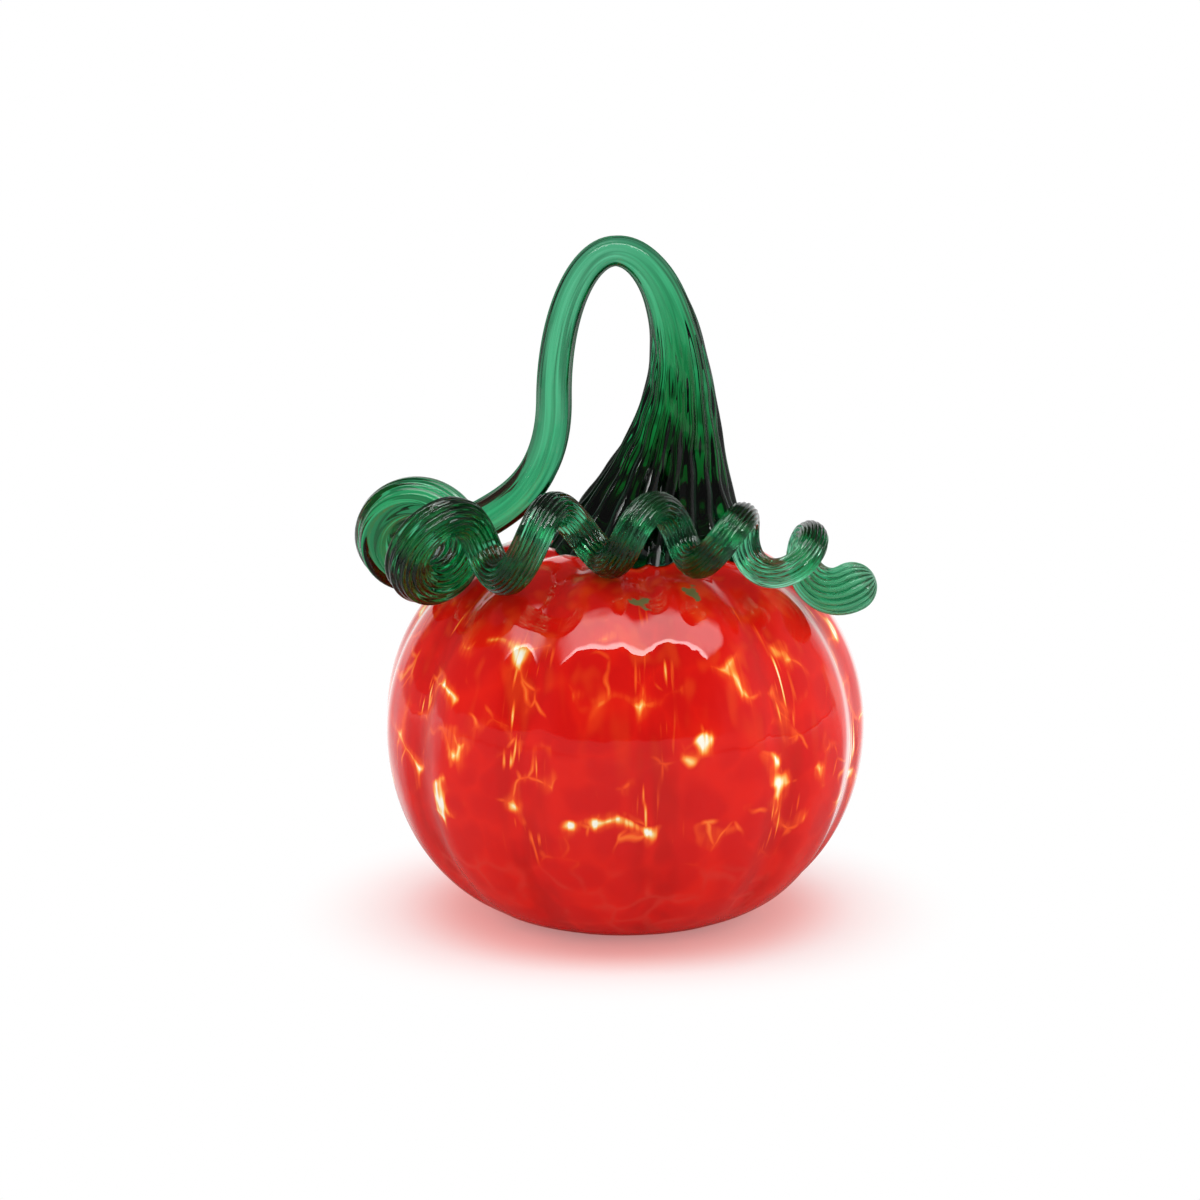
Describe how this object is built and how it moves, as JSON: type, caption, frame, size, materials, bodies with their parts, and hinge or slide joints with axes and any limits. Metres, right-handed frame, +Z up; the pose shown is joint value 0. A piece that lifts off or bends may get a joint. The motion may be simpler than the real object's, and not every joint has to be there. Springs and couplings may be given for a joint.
{
  "type": "glass pumpkin ornament",
  "caption": "Hand-blown glass pumpkin: a hollow lobed red body with a ribbed green stem pulled into a loop and a corkscrew tendril laid across its shoulder.",
  "frame": {"origin": "middle of the flat base, on the body's axis", "axes": "+Z up along the body's axis, -Y towards the front where the tendril lies, +X to the viewer's right"},
  "size_m": [0.1239, 0.1164, 0.165],
  "materials": {
    "red_glass": "fire-polished",
    "green_glass": "fire-polished"
  },
  "bodies": {
    "root": {"body": "red_glass", "stem": "green_glass", "tendril": "green_glass"}
  },
  "joints": []
}
